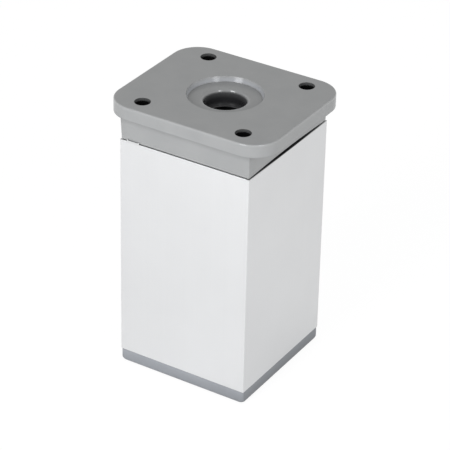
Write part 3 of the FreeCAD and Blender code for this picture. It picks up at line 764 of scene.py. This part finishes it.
def make_plate_plastic():
    """The plate's plastic, satin, with painted shade in its corners and near black down its holes, and
    painted light on its flange edge and recess wall.
    """
    finish, place = new_finish("plate_plastic")
    color, grain = grey_moulding(place, (0.320, 0.326, 0.326), (0.350, 0.354, 0.353))
    depth = plate_top - place.along(2)
    from_axis = place.distance_from(0.0, 0.0)

    # Painted shade on the neck just under the flange and on the floor of the recess.
    under_flange = depth.band(*flange_shade_band)
    on_floor = from_axis.limited(recess_radius, recess_floor_radius)
    recess_floor = depth.limited(recess_floor_from, recess_depth) * on_floor
    painted_shade = flange_shade * under_flange + recess_floor_shade * recess_floor
    color = painted_shade.blended(color, (0.0, 0.0, 0.0))

    # Painted highlight: a paler band along the flange's rounded top edge; the coat on the same band below
    # is real gloss.
    outside = from_axis.limited(flange_edge_radius, flange_edge_radius + shade_blur)
    flange_edge = depth.band(*flange_edge_band) * outside
    color = (flange_edge_painted_highlight * flange_edge).blended(color, (0.42, 0.425, 0.425))

    # Painted light: the recess's wall is lightened and blued, as if it caught more light than the rest.
    wall_foot = recess_radius - recess_draft
    in_recess = from_axis.limited(recess_radius + recess_wall_spill, recess_radius)
    on_wall = in_recess * from_axis.limited(wall_foot - recess_wall_spill / 2, wall_foot)
    recess_wall = depth.band(*recess_wall_band) * on_wall
    color = (recess_wall_painted_light * recess_wall).blended(color, (0.44, 0.46, 0.50))
    # Painted shade: a dark line in the corner where the recess's wall meets its floor.
    by_wall = in_recess * from_axis.limited(recess_corner_radius, recess_corner_radius + shade_blur)
    recess_corner = depth.limited(recess_corner_from, recess_depth) * by_wall
    color = (recess_corner_shade * recess_corner).blended(color, (0.05, 0.05, 0.05))

    # Painted shade: the screw holes darken with depth, to near black below their first millimetre.
    from_screw = place.unsigned().distance_from(screw_x, screw_y)
    screw_hole = from_screw.limited(screw_hole_radius + screw_shade_spill, screw_hole_radius)
    far_down = depth.limited(screw_dark_from, screw_dark_full)
    screw_shade = screw_top_shade + (1 - screw_top_shade) * far_down
    color = (screw_hole * screw_shade).blended(color, (0.008, 0.008, 0.008))

    # Painted shade: the bore darkens with depth, with a lighter painted tone on its ledge and black below
    # it.
    bore = from_axis.limited(bore_radius + bore_shade_spill, bore_radius)
    for start, full, tone in bore_shades:
        color = (bore * depth.limited(start, full)).blended(color, tone)

    near_bore = from_axis.limited(bore_radius + lip_round, bore_radius + lip_polished)
    smooth_lip = depth.band(*lip_band) * near_bore
    roughness = (0.13 + 0.06 * grain) * (1.0 - lip_smoothing * smooth_lip)
    polish = smooth_lip + flange_edge_polish * flange_edge
    set_surface(finish, color, roughness, relief=grain, relief_depth=0.000003, polish=polish)
    return finish


dress(plate, make_plate_plastic(), "grey_plastic", "upper_plate", "mounting_plate")

# Floor
# A plain white floor that carries on past the picture. The camera sees it nearly white, with a soft
# trace of the leg's shadow. At the leg's +X side a painted shadow makes it give less light back to the foot
# and the tube.
floor_half = 3.0
seen_glow = 1.07
seen_share = 0.86
mirrored_share = 0.42
bright_paint = 0.90
painted_shadow_tone = 0.10
shade_middle = (0.035, 0.0)
shade_core = 0.015
shade_reach = 0.050
thrown_shade = 0.74
mirrored_shade = 0.15
clear()
bpy.ops.mesh.primitive_plane_add(size=2 * floor_half, location=(0.0, 0.0, cad_box[0][2]))
floor = bpy.context.object
floor.name = "floor"


def make_floor_white():
    """White paint that also glows a little, most where it is looked at, with a painted shadow beside the
    leg.
    """
    finish, place = new_finish("floor_white")
    tree = finish.node_tree
    tree.nodes.remove(tree.nodes["Principled BSDF"])
    rays = tree.nodes.new("ShaderNodeLightPath")
    seen = Wire(tree, rays.outputs["Is Camera Ray"])
    mirrored = Wire(tree, rays.outputs["Is Glossy Ray"])
    thrown = Wire(tree, rays.outputs["Is Diffuse Ray"])
    bright, painted_shadow_diffuse = (place.node("ShaderNodeBsdfDiffuse", {}, {"Color": (tone, tone, tone, 1.0)})
                    for tone in (bright_paint, painted_shadow_tone))
    # Painted shadow: beside the leg's +X side the floor turns towards the dark paint, strongly for light
    # thrown back at the leg and a little for what the tube mirrors.
    painted_shadow_area = place.distance_from(*shade_middle).limited(shade_reach, shade_core)
    painted_shade = (thrown_shade * thrown + mirrored_shade * mirrored) * painted_shadow_area
    paint = place.node("ShaderNodeMixShader", {}, {0: painted_shade, 1: bright, 2: painted_shadow_diffuse})
    glow = place.node("ShaderNodeEmission", {}, {"Color": (1.0, 1.0, 1.0, 1.0), "Strength": seen_glow})
    share = seen_share * seen + mirrored_share * mirrored * (1.0 - painted_shade)
    surface = place.node("ShaderNodeMixShader", {}, {0: share, 1: paint, 2: glow})
    tree.links.new(surface.socket, tree.nodes["Material Output"].inputs["Surface"])
    return finish


floor.data.materials.append(make_floor_white())

# Light
# A pale studio, brighter round the horizon than overhead, with one tall soft box on either side of
# the camera. Both stand low, so the leg's sides are brighter than its top.
horizon_level = 1.06
zenith_level = 0.43
box_distance = 0.72
box_middle_height = 0.32
box_tall = 0.62
box_tint = (0.985, 0.995, 1.02)
box_aim = Vector((0.0, 0.0, 0.07))
surround = bpy.data.worlds.new("surround")
surround.use_nodes = True
bpy.context.scene.world = surround
surround_tree = surround.node_tree
rays = surround_tree.nodes.new("ShaderNodeLightPath")
seen = Wire(surround_tree, rays.outputs["Is Camera Ray"])
direction = Wire(surround_tree, surround_tree.nodes.new("ShaderNodeTexCoord").outputs["Generated"])
rise = direction.along(2).limited(0.0, 1.0)
low_part = (1.0 - rise) * (1.0 - rise)
level = zenith_level + (horizon_level - zenith_level) * low_part
background = surround_tree.nodes["Background"]
background.inputs["Color"].default_value = (1.0, 1.0, 1.0, 1.0)
surround_tree.links.new((level + seen * (1.0 - level)).socket, background.inputs["Strength"])


def soft_box(name, bearing, width, power):
    """A soft box at a bearing round the leg, from -Y towards +X, that faces the leg's upper half."""
    place = Vector((math.sin(bearing) * box_distance, -math.cos(bearing) * box_distance, box_middle_height))
    lamp = bpy.data.lights.new(name, "AREA")
    lamp.shape = "RECTANGLE"
    lamp.size = width
    lamp.size_y = box_tall
    lamp.energy = power
    lamp.color = box_tint
    box = bpy.data.objects.new(name, lamp)
    bpy.context.scene.collection.objects.link(box)
    box.location = place
    box.rotation_euler = (box_aim - place).to_track_quat("-Z", "Y").to_euler()


soft_box("left_box", bearing=math.radians(-6.5), width=0.28, power=2.75)
soft_box("right_box", bearing=math.radians(59.6), width=0.20, power=1.4)

bpy.context.scene.view_settings.view_transform = "Standard"
